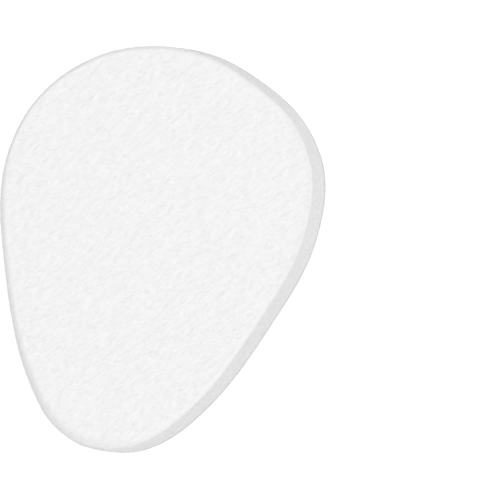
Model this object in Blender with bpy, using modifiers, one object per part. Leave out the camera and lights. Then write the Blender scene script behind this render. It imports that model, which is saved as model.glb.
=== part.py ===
"""A metatarsal pad: an egg-shaped felt cushion, die-cut, with an adhesive film and a release liner under it.

Metres, +Z up. The pad lies on its liner with the broad toe end towards +Y. The origin is at the middle of its
footprint, on the surface that it lies on.
"""

from collections import namedtuple

import bmesh
import bpy
from mathutils import Vector
from mathutils.geometry import interpolate_bezier

# Footprint of the die cut
PAD_LENGTH = 0.076
PAD_WIDTH = 0.0625

# Layers, from the top
FELT_THICKNESS = 0.0060
ADHESIVE_THICKNESS = 0.0002
LINER_THICKNESS = 0.00015
LAYER_GAP = 0.0003

# The film stops a little short of the cut edge, and the felt's upper edge is softly rounded
ADHESIVE_INSET = 0.00015
FELT_EDGE_RADIUS = 0.0010

# Fineness of the round shapes
STEPS_PER_SPAN = 9
EDGE_SEGMENTS = 4
SMOOTH_ANGLE = 0.6

# Distance of a curve handle from its anchor, as a share of the span it leans into
HANDLE_SHARE = 0.36

# Points closer than this are one, and a face whose normal's upright share is above this is a flat cap
WELD_DISTANCE = 0.000001
CAP_UPRIGHTNESS = 0.9

# The die's outline, clockwise from the toe: shares of half the width and of half the length
Anchor = namedtuple("Anchor", "place across along")
OUTLINE = (
    Anchor("toe crest", -0.16, 0.90),
    Anchor("right toe", 0.46, 0.82),
    Anchor("right shoulder", 0.86, 0.59),
    Anchor("right side", 0.98, 0.26),
    Anchor("right flank", 0.88, -0.15),
    Anchor("right of heel", 0.50, -0.79),
    Anchor("heel tip", 0.06, -1.03),
    Anchor("left of heel", -0.40, -0.91),
    Anchor("left flank", -0.86, -0.31),
    Anchor("left side", -1.02, 0.24),
    Anchor("left shoulder", -0.75, 0.68),
)

# One row for each layer's surface
Finish = namedtuple("Finish", "color roughness")
FINISHES = {
    "felt_white": Finish((0.90, 0.90, 0.89, 1.0), 0.95),
    "adhesive_clear": Finish((0.86, 0.84, 0.76, 1.0), 0.25),
    "liner_paper": Finish((0.88, 0.89, 0.90, 1.0), 0.40),
}


def clear_scene():
    for item in list(bpy.data.objects):
        bpy.data.objects.remove(item)


def new_collection(name):
    collection = bpy.data.collections.new(name)
    bpy.context.scene.collection.children.link(collection)
    return collection


def make_material(name):
    finish = FINISHES[name]
    material = bpy.data.materials.new(name)
    material.use_nodes = True
    shader = material.node_tree.nodes["Principled BSDF"]
    shader.inputs["Base Color"].default_value = finish.color
    shader.inputs["Roughness"].default_value = finish.roughness
    shader.inputs["Metallic"].default_value = 0.0
    return material


def knots_through(anchors):
    """(point, left handle, right handle) at each anchor: the curve leaves it along its neighbours' chord."""
    count = len(anchors)
    knots = []
    for i, point in enumerate(anchors):
        before = anchors[i - 1]
        after = anchors[(i + 1) % count]
        along = (after - before).normalized()
        left = point - along * (point - before).length * HANDLE_SHARE
        right = point + along * (after - point).length * HANDLE_SHARE
        knots.append((point, left, right))
    return knots


def sampled(knots):
    """The points that the curve's spans are drawn with."""
    points = []
    for i, (start, _, leaving) in enumerate(knots):
        end, arriving, _ = knots[(i + 1) % len(knots)]
        points += interpolate_bezier(start, leaving, arriving, end, STEPS_PER_SPAN + 1)[:-1]
    return points


def die_outline(width, length):
    """The outline's knots, stretched so that it measures exactly this width and length about the origin."""
    knots = knots_through([Vector((row.across * width / 2, row.along * length / 2, 0)) for row in OUTLINE])
    points = sampled(knots)
    low = Vector(min(point[axis] for point in points) for axis in range(2))
    high = Vector(max(point[axis] for point in points) for axis in range(2))
    middle = (low + high) / 2
    stretch = (width / (high - low).x, length / (high - low).y)
    return [
        [Vector(((place.x - middle.x) * stretch[0], (place.y - middle.y) * stretch[1], 0)) for place in knot]
        for knot in knots
    ]


def make_sheet(name, width, length, bottom, thickness, material, collection):
    """A flat layer cut to the die's outline, with straight walls."""
    curve = bpy.data.curves.new(name, "CURVE")
    curve.dimensions = "2D"
    curve.fill_mode = "BOTH"
    curve.extrude = thickness / 2
    curve.resolution_u = STEPS_PER_SPAN
    knots = die_outline(width, length)
    spline = curve.splines.new("BEZIER")
    spline.bezier_points.add(len(knots) - 1)
    spline.use_cyclic_u = True
    for knot, (point, left, right) in zip(spline.bezier_points, knots):
        knot.handle_left_type = "FREE"
        knot.handle_right_type = "FREE"
        knot.co = point
        knot.handle_left = left
        knot.handle_right = right
    curve.materials.append(make_material(material))
    sheet = bpy.data.objects.new(name, curve)
    sheet.location.z = bottom + thickness / 2
    collection.objects.link(sheet)
    return sheet


def as_mesh(drawn):
    """The curve object's solid as a mesh object in its place, its caps welded to its walls and left whole."""
    bpy.context.view_layer.update()
    graph = bpy.context.evaluated_depsgraph_get()
    mesh = bpy.data.meshes.new_from_object(drawn.evaluated_get(graph))
    solid = bmesh.new()
    solid.from_mesh(mesh)
    bmesh.ops.remove_doubles(solid, verts=solid.verts, dist=WELD_DISTANCE)
    for side in (1, -1):
        cap = [face for face in solid.faces if face.normal.z * side > CAP_UPRIGHTNESS]
        bmesh.ops.dissolve_faces(solid, faces=cap)
    bmesh.ops.recalc_face_normals(solid, faces=solid.faces)
    solid.to_mesh(mesh)
    solid.free()
    name = drawn.name
    collection = drawn.users_collection[0]
    place = drawn.matrix_world.copy()
    curve = drawn.data
    bpy.data.objects.remove(drawn)
    bpy.data.curves.remove(curve)
    mesh.name = name
    piece = bpy.data.objects.new(name, mesh)
    piece.matrix_world = place
    collection.objects.link(piece)
    return piece


def round_upper_edge(piece, radius):
    """Rounds the ring where the top meets the cut wall, and leaves the lower edge sharp."""
    mesh = piece.data
    top = max(vertex.co.z for vertex in mesh.vertices)
    weights = mesh.attributes.new("bevel_weight_edge", "FLOAT", "EDGE")
    for edge in mesh.edges:
        heights = [mesh.vertices[index].co.z for index in edge.vertices]
        weights.data[edge.index].value = float(min(heights) > top - WELD_DISTANCE)
    bevel = piece.modifiers.new("Softened edge", "BEVEL")
    bevel.limit_method = "WEIGHT"
    bevel.width = radius
    bevel.segments = EDGE_SEGMENTS
    mesh.shade_smooth()
    mesh.set_sharp_from_angle(angle=SMOOTH_ANGLE)


def build_release_liner(collection):
    """The paper that the pad is supplied and laid down on."""
    make_sheet("release_liner", PAD_WIDTH, PAD_LENGTH, 0.0, LINER_THICKNESS, "liner_paper", collection)


def build_adhesive_layer(collection):
    """The film that holds the liner now and the foot or insole later."""
    bottom = LINER_THICKNESS + LAYER_GAP
    width = PAD_WIDTH - 2 * ADHESIVE_INSET
    length = PAD_LENGTH - 2 * ADHESIVE_INSET
    make_sheet("adhesive_layer", width, length, bottom, ADHESIVE_THICKNESS, "adhesive_clear", collection)


def build_felt_pad(collection):
    """The thick felt cushion, cut square through its thickness."""
    bottom = LINER_THICKNESS + LAYER_GAP + ADHESIVE_THICKNESS + LAYER_GAP
    drawn = make_sheet("felt_pad", PAD_WIDTH, PAD_LENGTH, bottom, FELT_THICKNESS, "felt_white", collection)
    round_upper_edge(as_mesh(drawn), FELT_EDGE_RADIUS)


def main():
    clear_scene()
    collection = new_collection("metatarsal_pad")
    build_release_liner(collection)
    build_adhesive_layer(collection)
    build_felt_pad(collection)


main()
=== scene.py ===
import math
import random

import bmesh
import bpy
from mathutils import Matrix, Vector, noise
from mathutils.bvhtree import BVHTree
from mathutils.geometry import interpolate_bezier


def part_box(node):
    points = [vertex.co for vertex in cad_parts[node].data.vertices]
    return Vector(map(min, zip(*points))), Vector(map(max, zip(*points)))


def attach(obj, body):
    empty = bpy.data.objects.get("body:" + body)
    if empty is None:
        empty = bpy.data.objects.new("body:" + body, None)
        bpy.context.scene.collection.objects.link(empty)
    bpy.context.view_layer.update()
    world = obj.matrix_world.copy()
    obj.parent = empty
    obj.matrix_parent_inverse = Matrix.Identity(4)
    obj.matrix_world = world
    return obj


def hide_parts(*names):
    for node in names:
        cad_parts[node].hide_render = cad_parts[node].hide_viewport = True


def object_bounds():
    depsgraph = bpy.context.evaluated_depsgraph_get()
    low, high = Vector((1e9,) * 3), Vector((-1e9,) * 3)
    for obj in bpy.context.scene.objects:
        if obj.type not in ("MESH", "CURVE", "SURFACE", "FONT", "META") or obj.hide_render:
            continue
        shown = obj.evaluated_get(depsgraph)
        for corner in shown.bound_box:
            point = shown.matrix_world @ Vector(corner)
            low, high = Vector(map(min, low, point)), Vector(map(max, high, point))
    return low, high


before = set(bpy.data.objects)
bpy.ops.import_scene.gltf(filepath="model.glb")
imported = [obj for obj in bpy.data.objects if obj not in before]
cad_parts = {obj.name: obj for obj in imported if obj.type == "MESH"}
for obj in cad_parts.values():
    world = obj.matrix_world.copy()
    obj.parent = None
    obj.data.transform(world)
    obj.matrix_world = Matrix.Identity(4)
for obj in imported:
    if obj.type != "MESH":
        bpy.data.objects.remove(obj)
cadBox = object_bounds()
mm = 0.001


# The camera
view = {
    "lens": 600.0,              # mm, long, so that the outline keeps its shape
    "sensor": 36.0,             # mm
    "clip": (0.05, 20),         # m, the nearest and the furthest that it sees
    "pictureWidth": 92.3 * mm,  # at the pad
    "tilt": 24.5,               # degrees off the pad's normal
    "bearing": 5.2,             # degrees from +X towards +Y
    "roll": 9.8,                # degrees that the pad's right side sinks in the picture
    "aimRight": 19.04 * mm,     # from the pad's middle, along the picture
    "aimUp": 0.08 * mm,
}


def placeCamera():
    tilt, bearing, roll = (math.radians(view[name]) for name in ("tilt", "bearing", "roll"))
    level = Vector((math.cos(bearing), math.sin(bearing), 0))
    back = level * math.sin(tilt) + Vector((0, 0, math.cos(tilt)))
    sideways = level * math.cos(tilt) - Vector((0, 0, math.sin(tilt)))
    down = sideways.cross(back)
    right = sideways * math.cos(roll) - down * math.sin(roll)
    up = back.cross(right)
    data = bpy.data.cameras.new("camera")
    data.lens = view["lens"]
    data.sensor_width = view["sensor"]
    data.clip_start, data.clip_end = view["clip"]
    data.dof.use_dof = False
    camera = bpy.data.objects.new("camera", data)
    bpy.context.scene.collection.objects.link(camera)
    camera.matrix_world = Matrix((right, up, back)).transposed().to_4x4()
    aim = (cadBox[0] + cadBox[1]) / 2 + right * view["aimRight"] + up * view["aimUp"]
    camera.location = aim + back * view["pictureWidth"] * view["lens"] / view["sensor"]
    bpy.context.scene.camera = camera


placeCamera()
print("camera placed")


# Light and floor
studio = {
    "sky": 0.756,           # an even white dome
    "lampPower": 49.0,      # W
    "lampSize": 1.2,        # m
    "lampDistance": 3.2,    # m
    "lampBearing": 4,       # degrees from +X towards +Y
    "lampHeight": 57,       # degrees above the floor
    "floorColor": (0.20, 0.20, 0.20, 1),
    "floorGlow": 0.905,     # the floor is a light table, so it takes hardly any shadow
    "floorSize": 4.0,       # m
}


def lightStudio():
    scene = bpy.context.scene
    scene.view_settings.view_transform = "Standard"
    scene.world = bpy.data.worlds.new("whiteDome")
    scene.world.use_nodes = True
    dome = scene.world.node_tree.nodes["Background"]
    dome.inputs["Color"].default_value = (1, 1, 1, 1)
    dome.inputs["Strength"].default_value = studio["sky"]
    lamp = bpy.data.lights.new("softbox", "AREA")
    lamp.shape = "DISK"
    lamp.size = studio["lampSize"]
    lamp.energy = studio["lampPower"]
    bearing = math.radians(studio["lampBearing"])
    height = math.radians(studio["lampHeight"])
    towards = Vector((
        math.cos(bearing) * math.cos(height),
        math.sin(bearing) * math.cos(height),
        math.sin(height)))
    softbox = bpy.data.objects.new("softbox", lamp)
    softbox.rotation_euler = towards.to_track_quat("Z", "Y").to_euler()
    softbox.location = towards * studio["lampDistance"]
    softbox.visible_camera = False
    scene.collection.objects.link(softbox)


lightStudio()
print("studio lit")


# Materials
class Value:  # a socket that can be used in a sum
    def __init__(self, finish, socket):
        self.finish = finish
        self.socket = socket

    def sum(self, operation, first, second=0.0):
        return self.finish.node("ShaderNodeMath", {"operation": operation}, {0: first, 1: second})

    def __add__(self, other):
        return self.sum("ADD", self, other)

    def __sub__(self, other):
        return self.sum("SUBTRACT", self, other)

    def __rsub__(self, other):
        return self.sum("SUBTRACT", other, self)

    def __mul__(self, other):
        return self.sum("MULTIPLY", self, other)

    def __truediv__(self, other):
        return self.sum("DIVIDE", self, other)

    def __abs__(self):
        return self.sum("ABSOLUTE", self)

    def root(self):
        return self.sum("SQRT", self)

    def wholePart(self):
        return self.sum("FLOOR", self)

    def fraction(self):
        return self.sum("FRACT", self)

    def atLeast(self, other):
        return self.sum("MAXIMUM", self, other)

    def atMost(self, other):
        return self.sum("MINIMUM", self, other)

    __radd__ = __add__
    __rmul__ = __mul__


class Finish:  # a material and the nodes that are added to it
    def __init__(self, name, fixed):
        self.material = bpy.data.materials.new(name)
        self.material.use_nodes = True
        self.tree = self.material.node_tree
        self.skin = self.tree.nodes["Principled BSDF"]
        for socket, value in fixed.items():
            self.feed(self.skin.inputs[socket], value)
        self.place = self.node("ShaderNodeTexCoord", output="Object")

    def feed(self, socket, value):
        if isinstance(value, Value):
            self.tree.links.new(value.socket, socket)
        else:
            socket.default_value = value

    def node(self, kind, settings=None, inputs=None, output=0):
        made = self.tree.nodes.new(kind)
        for name, value in (settings or {}).items():
            setattr(made, name, value)
        for name, value in (inputs or {}).items():
            self.feed(made.inputs[name], value)
        return Value(self, made.outputs[output])

    def cloud(self, size, turn=0.0, detail=2.0, swirl=0.0, offset=0.0):  # noise whose grains have this size
        spot = self.node("ShaderNodeMapping", {"vector_type": "TEXTURE"}, {
            "Vector": self.place, "Location": (offset, offset, 0),
            "Rotation": (0, 0, math.radians(turn)), "Scale": size})
        return self.node("ShaderNodeTexNoise", {}, {
            "Vector": spot, "Scale": 1.0, "Detail": detail, "Roughness": 0.55, "Distortion": swirl})

    def strands(self, size, turn, sharpness, swirl, offset=0.0):  # thin curving lines, 1 on each line
        crossing = abs(self.cloud(size, turn, 1.0, swirl, offset) - 0.5)  # 0 where the noise is at its middle
        return (1.0 - crossing * sharpness).atLeast(0.0)

    def blend(self, share, first, second):  # of two colours
        return self.node("ShaderNodeMix", {"data_type": "RGBA"}, {0: share, 6: first, 7: second}, output=2)

    def bump(self, height, depth):
        return self.node("ShaderNodeBump", {}, {"Strength": 1.0, "Distance": depth, "Height": height})

    def attribute(self, name):  # a number that the mesh carries
        return self.node("ShaderNodeAttribute", {"attribute_name": name}, output="Fac")

    def paint(self, socket, value):
        self.feed(self.skin.inputs[socket], value)


# Sizes of grains are across, along and up
feltLook = {
    "shade": (0.718, 0.718, 0.718, 1),
    "light": (0.857, 0.857, 0.857, 1),
    # the wall's colours are a darker copy of the top's: partly the cut's own tone, partly painted shade
    "shadedCutDark": (0.580, 0.580, 0.580, 1),
    "shadedCutLight": (0.680, 0.680, 0.680, 1),
    "footShade": (0.420, 0.420, 0.420, 1),
    "foot": (0.40 * mm, 0.60 * mm),     # painted shadow where the felt meets the film: the wall's lowest part, from this height and this high, is darker
    "lay": -54.0,                       # degrees that the fibres' main run is turned from +Y
    "fibre": (0.11 * mm, 1.3 * mm, 0.5 * mm),
    "fibreSwirl": 0.6,
    "fibreSharpness": (9.0, 10.0),      # along the lay, and the other ways
    "otherWays": (41, 88, -37),         # degrees from the lay
    "otherShare": 0.85,                 # how much those fibres count
    "shift": 0.01,                      # m between two patterns of one size
    "ripple": (0.46 * mm, 1.27 * mm, 0.8 * mm),
    "rippleSpread": 12.0,               # degrees to each side of the lay
    "rippleDetail": 0.6,
    "rippleSwirl": 0.2,
    "grain": (0.19 * mm, 0.34 * mm, 0.2 * mm),
    "layer": (2.4 * mm, 2.4 * mm, 0.75 * mm),
    "layerDetail": 3.0,
    "layerSwirl": 0.4,
    "cutEnd": (0.14 * mm, 0.14 * mm, 0.1 * mm),
    "cutEndDetail": 1.0,
    "topHeight": (0.23, 0.004, 0.003),  # mm, of the ripple, the grain and the matted fibres
    "sideHeight": (0.16, 0.025),        # mm, of the layers and the cut ends
    "topHollowShading": (0.1, 0.8, 0.1),         # shares of the matted fibres, the ripple and the grain in the top's colour, which is darker where they sink: painted shade in the hollows, along with the felt's own uneven tone
    "sideTone": (0.8, 0.2),             # shares of the layers and the cut ends
    "roughness": (0.98, 0.08),          # the most, and how much less it is on the grain's tops
}


def mattedFibres(felt):  # the longest run along the lay and the others cross it
    lay, size, swirl = feltLook["lay"], feltLook["fibre"], feltLook["fibreSwirl"]
    alongLay, otherwise = feltLook["fibreSharpness"]
    matted = felt.strands(size, lay, alongLay, swirl)
    for step, way in enumerate(feltLook["otherWays"]):
        crossing = felt.strands(size, lay + way, otherwise, swirl, feltLook["shift"] * (step + 1))
        matted = matted.atLeast(crossing * feltLook["otherShare"])
    return matted


def rippled(felt):  # the mean of two patterns, one to each side of the lay
    size, lay, spread = feltLook["ripple"], feltLook["lay"], feltLook["rippleSpread"]
    detail, swirl = feltLook["rippleDetail"], feltLook["rippleSwirl"]
    first = felt.cloud(size, lay + spread, detail, swirl) * 0.5
    return first + felt.cloud(size, lay - spread, detail, swirl, feltLook["shift"] * 2) * 0.5


def pressedFelt():
    felt = Finish("pressedFelt", {"Sheen Weight": 0.25, "Sheen Roughness": 0.5, "Specular IOR Level": 0.2})
    wall = felt.attribute("cutWall")
    matted = mattedFibres(felt)
    ripple = rippled(felt)
    grain = felt.cloud(feltLook["grain"], feltLook["lay"])
    layers = felt.cloud(feltLook["layer"], 0, feltLook["layerDetail"], feltLook["layerSwirl"])
    cutEnds = felt.cloud(feltLook["cutEnd"], 0, feltLook["cutEndDetail"])
    topHeight, sideHeight = feltLook["topHeight"], feltLook["sideHeight"]
    top = ripple * topHeight[0] + grain * topHeight[1] + matted * topHeight[2]
    side = layers * sideHeight[0] + cutEnds * sideHeight[1]
    felt.paint("Normal", felt.bump(top * (1.0 - wall) + side * wall, mm))
    topHollowShading, sideTone = feltLook["topHollowShading"], feltLook["sideTone"]
    # the top is darker where its bump is lower: painted shade in the hollows, along with the felt's own
    # uneven tone
    hollowShadeShare = matted * topHollowShading[0] + ripple * topHollowShading[1] + grain * topHollowShading[2]
    hollowShadedTopColor = felt.blend(hollowShadeShare, feltLook["shade"], feltLook["light"])
    sideShare = layers * sideTone[0] + cutEnds * sideTone[1]
    # the wall's colour, darker than the top's: partly the cut's own tone, partly painted shade
    shadedSideColor = felt.blend(sideShare, feltLook["shadedCutDark"], feltLook["shadedCutLight"])
    # darkens the wall's lowest band: painted shadow where the felt meets the film
    level = felt.node("ShaderNodeSeparateXYZ", {}, {0: felt.place}, output="Z")
    footBottom, footHeight = feltLook["foot"]
    foot = (1.0 - (level - footBottom) / footHeight).atLeast(0.0).atMost(1.0)
    shadedSideColor = felt.blend(foot, shadedSideColor, feltLook["footShade"])
    # near the cut the top takes the wall's darker colour: painted shade
    felt.paint("Base Color", felt.blend(felt.attribute("paintedShadeShare"), hollowShadedTopColor, shadedSideColor))
    dullest, less = feltLook["roughness"]
    felt.paint("Roughness", dullest - grain * less)
    return felt.material


fibreLook = {
    "shade": (0.74, 0.74, 0.74, 1),
    "light": (0.86, 0.86, 0.86, 1),
    "tone": (0.6 * mm, 0.6 * mm, 0.6 * mm),
}


def looseFibre():
    fibre = Finish("looseFibre", {"Roughness": 0.7, "Sheen Weight": 0.2, "Specular IOR Level": 0.3})
    tone = fibre.cloud(fibreLook["tone"])
    fibre.paint("Base Color", fibre.blend(tone, fibreLook["shade"], fibreLook["light"]))
    return fibre.material


filmLook = {
    "color": (0.84, 0.82, 0.75, 1),
    "deep": (0.76, 0.74, 0.66, 1),
    "drag": (0.5 * mm, 3.5 * mm, 0.5 * mm),    # the streaks that the spreading left
    "dragTurn": 12,                            # degrees from +Y
    "dragDetail": 3.0,
    "dragSwirl": 0.5,
    "bead": (0.5 * mm, 0.5 * mm, 0.5 * mm),
    "beadDetail": 1.0,
    "relief": (0.7, 0.3),                      # shares of the drag and the beads
    "depth": 0.02 * mm,
    "roughness": (0.14, 0.2),                  # the least, and how much more it is on the drag's tops
}


def tackyFilm():
    film = Finish("tackyFilm", {"Coat Weight": 0.4, "Coat Roughness": 0.1})
    drag = film.cloud(filmLook["drag"], filmLook["dragTurn"], filmLook["dragDetail"], filmLook["dragSwirl"])
    beads = film.cloud(filmLook["bead"], 0, filmLook["beadDetail"])
    film.paint("Base Color", film.blend(drag, filmLook["deep"], filmLook["color"]))
    glossiest, more = filmLook["roughness"]
    film.paint("Roughness", glossiest + drag * more)
    dragShare, beadShare = filmLook["relief"]
    film.paint("Normal", film.bump(drag * dragShare + beads * beadShare, filmLook["depth"]))
    return film.material


paperLook = {
    "color": (0.86, 0.865, 0.87, 1),
    "cloudy": (0.81, 0.82, 0.83, 1),
    "pulp": (0.9 * mm, 1.4 * mm, 0.9 * mm),
    "pulpTurn": 10,            # degrees from +Y
    "pulpDetail": 4.0,
    "tooth": (0.16 * mm, 0.16 * mm, 0.16 * mm),
    "relief": (0.6, 0.4),      # shares of the pulp and the tooth
    "depth": 0.008 * mm,
    "roughness": (0.30, 0.12),  # the least, and how much more it is on the pulp's tops
    "ink": (0.075, 0.20, 0.42, 1),
    "inkCover": (0.86, 0.2),   # the least, and how much more it is on the pulp's tops
    "inkEdge": 0.05 * mm,
    "rowSlant": 24.0,          # degrees
    "rowPitch": 7.5 * mm,
    "dashPitch": 11.0 * mm,
    "dashHalf": 2.6 * mm,
    "dashRadius": 0.55 * mm,
}


def slantingDashes(paper, pulp):  # how much ink: rows of dashes, each row half a step along from the last
    spot = paper.node("ShaderNodeMapping", {"vector_type": "TEXTURE"}, {
        "Vector": paper.place, "Rotation": (0, 0, math.radians(paperLook["rowSlant"])),
        "Scale": (paperLook["dashPitch"], paperLook["rowPitch"], 1)})
    along = paper.node("ShaderNodeSeparateXYZ", {}, {0: spot}, output="X")
    across = paper.node("ShaderNodeSeparateXYZ", {}, {0: spot}, output="Y")
    dashAlong = abs((along + across.wholePart() * 0.5).fraction() - 0.5) * paperLook["dashPitch"]
    dashAcross = (across.fraction() - 0.5) * paperLook["rowPitch"]
    past = (dashAlong - paperLook["dashHalf"]).atLeast(0.0)
    reach = (past * past + dashAcross * dashAcross).root()
    edge = (paperLook["dashRadius"] - reach) / paperLook["inkEdge"] + 0.5
    thinnest, more = paperLook["inkCover"]
    return edge.atLeast(0.0).atMost(1.0) * (thinnest + pulp * more).atMost(1.0)


def coatedPaper(name, printed):
    paper = Finish(name, {"Coat Weight": 0.3, "Coat Roughness": 0.2})
    pulp = paper.cloud(paperLook["pulp"], paperLook["pulpTurn"], paperLook["pulpDetail"])
    tooth = paper.cloud(paperLook["tooth"])
    color = paper.blend(pulp, paperLook["cloudy"], paperLook["color"])
    if printed:
        color = paper.blend(slantingDashes(paper, pulp), color, paperLook["ink"])
    paper.paint("Base Color", color)
    glossiest, more = paperLook["roughness"]
    paper.paint("Roughness", glossiest + pulp * more)
    pulpShare, toothShare = paperLook["relief"]
    paper.paint("Normal", paper.bump(pulp * pulpShare + tooth * toothShare, paperLook["depth"]))
    return paper.material


def plainFloor():
    floor = Finish("plainFloor", {
        "Base Color": studio["floorColor"], "Roughness": 0.9, "Specular IOR Level": 0.0,
        "Emission Color": (1, 1, 1, 1), "Emission Strength": studio["floorGlow"]})
    return floor.material


feltFinish = pressedFelt()
fibreFinish = looseFibre()
print("materials mixed")


# The cut's shape
cut = {
    "outline": (  # clockwise from the toe: shares of half the width and of half the length
        (-0.16, 0.90), (0.46, 0.82), (0.86, 0.59), (0.98, 0.26), (0.88, -0.15), (0.50, -0.79),
        (0.06, -1.03), (-0.40, -0.91), (-0.86, -0.31), (-1.02, 0.24), (-0.75, 0.68)),
    "handle": 0.36,           # of each span
    "fineness": 150,          # steps in each span
    "facing": 3,              # steps to each side, between which the way out is measured
}


def drawCut(half):  # points on the outline's curve, which then just fills the felt's box
    anchors = [Vector((across * half.x, along * half.y, 0)) for across, along in cut["outline"]]
    count = len(anchors)
    leans = [(anchors[(i + 1) % count] - anchors[i - 1]).normalized() * cut["handle"] for i in range(count)]
    drawn = []
    for i, start in enumerate(anchors):
        end = anchors[(i + 1) % count]
        span = (end - start).length
        handles = start + leans[i] * span, end - leans[(i + 1) % count] * span
        drawn += interpolate_bezier(start, *handles, end, cut["fineness"] + 1)[:-1]
    corners = [Vector(pick(p[axis] for p in drawn) for axis in range(2)) for pick in (min, max)]
    middle = ((corners[0] + corners[1]) / 2).to_3d()
    stretch = [2 * half[axis] / (corners[1] - corners[0])[axis] for axis in range(2)]
    return [Vector(((p - middle).x * stretch[0], (p - middle).y * stretch[1], 0)) for p in drawn]


def evenSteps(drawn):  # as many points along the same closed line, equally far apart
    steps = len(drawn)
    lengths = [0.0]
    for i in range(steps):
        lengths.append(lengths[-1] + (drawn[(i + 1) % steps] - drawn[i]).length)
    even = []
    at = 0
    for k in range(steps):
        wanted = lengths[-1] * k / steps
        while lengths[at + 1] < wanted:
            at += 1
        share = (wanted - lengths[at]) / (lengths[at + 1] - lengths[at])
        even.append(drawn[at].lerp(drawn[(at + 1) % steps], share))
    return even


def traceCut(low, high):  # (place, outward) at many even steps round the cut
    even = evenSteps(drawCut((high - low) / 2))
    traced = []
    for k, place in enumerate(even):
        run = even[(k + cut["facing"]) % len(even)] - even[k - cut["facing"]]
        traced.append((place, Vector((-run.y, run.x, 0)).normalized()))
    return traced


feltLow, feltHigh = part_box("felt_pad")
rim = traceCut(feltLow, feltHigh)


def onRim(turn, inset=0.0):  # a point on the cut, or this far inside it, and the way out of it
    spot = turn % 1.0 * len(rim)
    k = int(spot) % len(rim)
    place, outward = rim[k]
    nextPlace, nextOutward = rim[(k + 1) % len(rim)]
    place = place.lerp(nextPlace, spot % 1.0)
    outward = outward.lerp(nextOutward, spot % 1.0).normalized()
    return place - outward * inset, outward


def eggSheet(fineness, inset, height):  # a flat grid drawn out to the cut's shape
    sheet = bmesh.new()
    turn = sheet.verts.layers.float.new("turn")
    bmesh.ops.create_grid(sheet, x_segments=fineness, y_segments=fineness, size=1)
    for vertex in sheet.verts:
        x, y = vertex.co.x, vertex.co.y
        across = x * math.sqrt(1 - y * y / 2)  # makes the square grid round
        along = y * math.sqrt(1 - x * x / 2)
        vertex[turn] = (0.25 - math.atan2(along, across) / math.tau) % 1.0  # 0 at the toe, then clockwise
        vertex.co = onRim(vertex[turn], inset(vertex[turn]))[0] * math.hypot(across, along)
        vertex.co.z = height
    return sheet


def nextRow(sheet, ring):  # draws a new row of faces out of the open edge
    grown = bmesh.ops.extrude_edge_only(sheet, edges=ring)["geom"]
    fresh = [item for item in grown if isinstance(item, bmesh.types.BMEdge) and item.is_boundary]
    corners = [item for item in grown if isinstance(item, bmesh.types.BMVert)]
    return fresh, corners


def sortFaces(sheet):  # the operators add theirs in an order that differs from run to run
    sheet.verts.index_update()
    ranked = sorted(sheet.faces, key=lambda face: sorted(corner.index for corner in face.verts))
    for rank, face in enumerate(ranked):
        face.index = rank
    sheet.faces.sort()


def finished(name, sheet, materials):  # a mesh object that rides on the part
    mesh = bpy.data.meshes.new(name)
    sheet.to_mesh(mesh)
    sheet.free()
    mesh.shade_smooth()
    for material in materials:
        mesh.materials.append(material)
    piece = bpy.data.objects.new(name, mesh)
    bpy.context.scene.collection.objects.link(piece)
    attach(piece, "root")
    return piece


# The felt cushion
cushion = {
    "fineness": 244,           # cells across the top
    "bottom": 0.40 * mm,       # it rests on the film here
    # at so many degrees from +X, in mm: the crown's width and depth, the corner's radius, and how far
    # the upper wall bulges past the cut
    "edge": (
        (20, 0.5, 0.15, 0.30, 0.22),
        (45, 0.5, 0.15, 0.30, 0.18),
        (75, 0.8, 0.45, 0.35, -0.15),
        (110, 0.8, 0.55, 0.35, -0.27),
        (150, 0.8, 0.55, 1.00, 0.06),
        (177, 0.9, 0.50, 1.40, 0.29),
        (199, 1.5, 0.70, 1.50, 0.42),
        (225, 2.2, 1.15, 1.20, 0.38),
        (255, 2.3, 0.95, 1.40, 0.04),
        (281, 2.2, 0.80, 1.40, -0.10),
        (320, 0.9, 0.40, 0.40, -0.10),
        (355, 0.5, 0.15, 0.25, 0.26)),
    "crownRows": 7,
    "cornerRows": 6,
    "wallRows": 16,
    "paintedRimShade": (1.2 * mm, 0.50),    # painted shade: how far in from the cut the top takes the wall's darker colour, and how much
    # each unevenness: its size, its height and its seed
    "swell": (14.0 * mm, 0.08 * mm, 3.0),
    "relief": ((1.4 * mm, 0.064 * mm, 11.0), (0.74 * mm, 0.072 * mm, 17.0)),
    "wander": (6.0 * mm, 0.07 * mm, 23.0),        # of the knife's cut, along the wall
    "wallGrain": (0.9 * mm, 0.03 * mm, 29.0),
    "seedWay": (1.0, 1.7, 0.3),      # in which each seed moves its pattern
    # how fast each one changes along each axis: under 1 it is drawn out
    "reliefPace": (1.0, 0.39, 1.0),  # the second is along the lay
    "wanderPace": (1, 1, 1.4),
    "wallGrainPace": (0.7, 0.7, 3.0),
    "curl": (2.5 * mm, 0.7 * mm),    # size of the bends in the lay, and how far they move the relief
    "curlSeed": 4,                   # noise_vector would otherwise differ from run to run
    "held": 1.0 * mm,                # above the bottom: the lowest edge stays on the film
}


def uneven(place, values, pace=(1, 1, 1)):
    size, height, seed = values
    spot = Vector((place.x * pace[0], place.y * pace[1], place.z * pace[2])) / size
    return noise.noise(spot + Vector([seed * way for way in cushion["seedWay"]])) * height


def edgeSizes(turn):  # blended between the two nearest given places
    outward = onRim(turn)[1]
    facing = math.degrees(math.atan2(outward.y, outward.x)) % 360
    rows = cushion["edge"]
    for row, after in zip(rows, rows[1:] + rows[:1]):
        share = (facing - row[0]) % 360 / ((after[0] - row[0]) % 360)
        if share <= 1:
            share = share * share * (3 - 2 * share)  # with no kink at the given places
            return [first + (second - first) * share for first, second in zip(row[1:], after[1:])]


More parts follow.
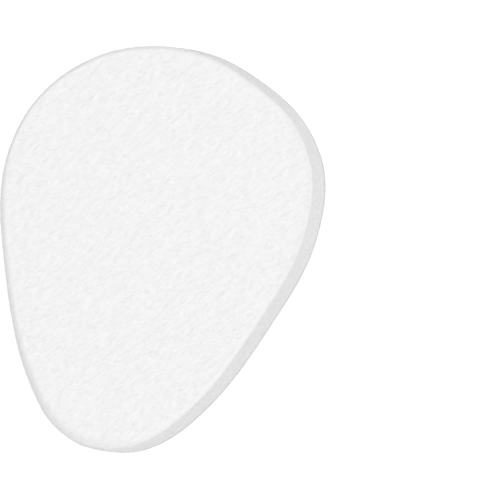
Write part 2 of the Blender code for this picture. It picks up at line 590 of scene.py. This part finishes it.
def edgeAt(turn, row):  # inset, height and slope of the row that is so far out from the flat top
    crownWidth, crownDepth, corner, bulge = (size * mm for size in edgeSizes(turn))
    lean = math.atan(2 * crownDepth / crownWidth)
    if row <= cushion["crownRows"]:
        share = row / cushion["crownRows"]
        inset = crownWidth * (1 - share) + corner * (1 - math.sin(lean)) - bulge
        height = feltHigh.z - crownDepth * share ** 2
        return inset, height, math.atan(2 * crownDepth * share / crownWidth)
    row -= cushion["crownRows"]
    if row <= cushion["cornerRows"]:
        slope = lean + (math.pi / 2 - lean) * row / cushion["cornerRows"]
        drop = crownDepth + corner * (math.cos(lean) - math.cos(slope))
        return corner * (1 - math.sin(slope)) - bulge, feltHigh.z - drop, slope
    fall = (row - cushion["cornerRows"]) / cushion["wallRows"]
    start = feltHigh.z - crownDepth - corner * math.cos(lean)
    return -bulge * (1 - fall ** 2), start + (cushion["bottom"] - start) * fall, math.pi / 2


def growEdge(felt):  # row by row over the rim and down the wall, and closes the bottom
    turn = felt.verts.layers.float["turn"]
    wall = felt.verts.layers.float.new("cutWall")  # 0 on the flat top and 1 on the wall
    ring = [edge for edge in felt.edges if edge.is_boundary]
    for row in range(1, cushion["crownRows"] + cushion["cornerRows"] + cushion["wallRows"] + 1):
        ring, corners = nextRow(felt, ring)
        for vertex in corners:
            inset, height, slope = edgeAt(vertex[turn], row)
            vertex.co = onRim(vertex[turn], inset)[0]
            vertex.co.z = height
            vertex[wall] = math.sin(slope) ** 2
    closed = bmesh.ops.contextual_create(felt, geom=ring)["faces"]
    bmesh.ops.poke(felt, faces=closed)
    bmesh.ops.recalc_face_normals(felt, faces=felt.faces)
    sortFaces(felt)
    felt.normal_update()


# paints shade on the top near the cut, darkening it towards the wall's colour
def shadeRim(felt):
    turn = felt.verts.layers.float["turn"]
    wall = felt.verts.layers.float["cutWall"]
    tone = felt.verts.layers.float.new("paintedShadeShare")  # as cutWall, but it fades in from inside the cut: painted shade along the top's rim
    reach, shade = cushion["paintedRimShade"]
    for vertex in felt.verts:
        place, outward = onRim(vertex[turn])
        nearness = max(0.0, 1 - (place - vertex.co).dot(outward) / reach)
        vertex[tone] = max(vertex[wall], shade * nearness ** 2)


def roughen(felt):  # moves the whole skin a little, out or in
    wall = felt.verts.layers.float["cutWall"]
    lay = Matrix.Rotation(-math.radians(feltLook["lay"]), 3, "Z")
    curlSize, curlReach = cushion["curl"]
    noise.seed_set(cushion["curlSeed"])
    moves = []
    for vertex in felt.verts:
        place, share = vertex.co, vertex[wall]
        run = lay @ (place + noise.noise_vector(place / curlSize) * curlReach)
        rise = uneven(place, cushion["swell"])
        for wave in cushion["relief"]:
            rise += uneven(run, wave, cushion["reliefPace"])
        side = uneven(place, cushion["wander"], cushion["wanderPace"])
        side += uneven(place, cushion["wallGrain"], cushion["wallGrainPace"])
        free = min(1.0, max(0.0, (place.z - cushion["bottom"]) / cushion["held"]))
        moves.append(vertex.normal * (rise * (1 - share) + side * share) * free)
    for vertex, move in zip(felt.verts, moves):
        vertex.co += move
    felt.normal_update()


def makeCushion():
    felt = eggSheet(cushion["fineness"], lambda turn: edgeAt(turn, 0)[0], feltHigh.z)
    growEdge(felt)
    shadeRim(felt)
    roughen(felt)
    surface = BVHTree.FromBMesh(felt)
    piece = finished("feltCushion", felt, [feltFinish])
    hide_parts("felt_pad")
    return piece, surface


feltCushion, feltSurface = makeCushion()
print("felt cushion shaped")


# Loose fibres on the felt
fuzz = {
    "top": {
        "count": 5200,
        "seed": 5,
        "length": (0.7 * mm, 2.2 * mm),
        "radius": 0.013 * mm,
        "lift": 0.05 * mm,
    },
    "edge": {
        "count": 5200,
        "seed": 8,
        "length": (0.4 * mm, 1.3 * mm),
        "radius": 0.012 * mm,
        "lift": 0.16 * mm,
    },
    "steps": 4,               # straight runs in each fibre
    "bend": 0.35,             # how far most of them turn to the side in two steps
    "loose": (0.1, 1.0),      # the tip rises by the square of such a share of the lift
    "sink": 0.006 * mm,       # of each fibre into the felt, so that its root doesn't hang above it
    "taper": (1.15, 0.15),    # the root's thickness, and how much each step takes off
    "topReach": 0.99,         # of the way from the middle to the cut
    "edgeLow": 0.5 * mm,      # from the bottom to the lowest root on the wall
    "edgeLess": 0.6 * mm,     # the roots' band is this much lower than the felt is thick
}


def anywhereOnTop(dice):
    reach = math.sqrt(dice.random()) * fuzz["topReach"]
    place = onRim(dice.random())[0] * reach
    place.z = feltHigh.z
    return place, Vector((0, 0, 1))


def anywhereOnEdge(dice):
    place, outward = onRim(dice.random())
    share = dice.random()
    band = feltHigh.z - cushion["bottom"] - fuzz["edgeLess"]
    place.z = cushion["bottom"] + fuzz["edgeLow"] + band * share
    return place, outward


def drawFibre(strand, dice, values, anywhere):
    steps = fuzz["steps"]
    thick, thinner = fuzz["taper"]
    place, out = anywhere(dice)
    pace = dice.uniform(*values["length"]) / steps
    heading = Vector([dice.gauss(0, 1) for _ in range(3)])
    heading = (heading - heading.project(out)).normalized()
    sidestep = out.cross(heading)
    bend = dice.gauss(0, fuzz["bend"])
    rise = values["lift"] * dice.uniform(*fuzz["loose"]) ** 2
    strand.points.add(steps)
    for step, point in enumerate(strand.points):
        found = feltSurface.find_nearest(place)[0]
        lifted = found + out * (rise * step / steps * (2 - step / steps) - fuzz["sink"])
        point.co = (*lifted, 1)
        point.radius = thick - thinner * step
        place = found + (heading + sidestep * bend * step / 2).normalized() * pace


def layFibres(name, values, anywhere):
    dice = random.Random(values["seed"])
    strands = bpy.data.curves.new(name, "CURVE")
    strands.dimensions = "3D"
    strands.bevel_depth = values["radius"]
    strands.bevel_resolution = 0
    strands.use_fill_caps = True
    for _ in range(values["count"]):
        drawFibre(strands.splines.new("POLY"), dice, values, anywhere)
    drawn = bpy.data.objects.new(name, strands)
    bpy.context.scene.collection.objects.link(drawn)
    graph = bpy.context.evaluated_depsgraph_get()
    mesh = bpy.data.meshes.new_from_object(drawn.evaluated_get(graph))
    bpy.data.objects.remove(drawn)
    mesh.name = name
    mesh.materials.clear()
    mesh.materials.append(fibreFinish)
    piece = bpy.data.objects.new(name, mesh)
    bpy.context.scene.collection.objects.link(piece)
    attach(piece, "root")
    return piece


topFibres = layFibres("topFibres", fuzz["top"], anywhereOnTop)
edgeFibres = layFibres("edgeFibres", fuzz["edge"], anywhereOnEdge)
print("loose fibres laid")


# The film and the liner under the felt
underside = {
    "fineness": 64,           # cells across each
    "linerTop": 0.15 * mm,    # the film rests on the liner here
    "filmInset": 0.15 * mm,   # from the cut
    "facingDown": -0.5,       # a face whose normal's upright share is below this has the print
}


def makeFilm():
    film = eggSheet(underside["fineness"], lambda turn: underside["filmInset"], underside["linerTop"])
    thickness = cushion["bottom"] - underside["linerTop"]
    bmesh.ops.solidify(film, geom=film.faces[:], thickness=-thickness)
    bmesh.ops.recalc_face_normals(film, faces=film.faces)
    sortFaces(film)
    piece = finished("adhesiveFilm", film, [tackyFilm()])
    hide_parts("adhesive_layer")
    return piece


def makeLiner():
    paper = eggSheet(underside["fineness"], lambda turn: 0.0, 0.0)
    bmesh.ops.solidify(paper, geom=paper.faces[:], thickness=-underside["linerTop"])
    bmesh.ops.recalc_face_normals(paper, faces=paper.faces)
    sortFaces(paper)
    paper.normal_update()
    for face in paper.faces:
        face.material_index = int(face.normal.z < underside["facingDown"])
    sides = [coatedPaper("linerPaper", False), coatedPaper("printedLiner", True)]
    piece = finished("releaseLiner", paper, sides)
    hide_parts("release_liner")
    return piece


adhesiveFilm = makeFilm()
releaseLiner = makeLiner()
print("film and liner cut")


def layFloor():
    flat = bmesh.new()
    bmesh.ops.create_grid(flat, x_segments=1, y_segments=1, size=studio["floorSize"] / 2)
    mesh = bpy.data.meshes.new("floor")
    flat.to_mesh(mesh)
    flat.free()
    mesh.materials.append(plainFloor())
    floor = bpy.data.objects.new("floor", mesh)
    bpy.context.scene.collection.objects.link(floor)


layFloor()
print("floor laid")

for piece in (feltCushion, topFibres, edgeFibres, adhesiveFilm, releaseLiner):
    piece.data.calc_loop_triangles()
    print(piece.name, len(piece.data.loop_triangles), "triangles")
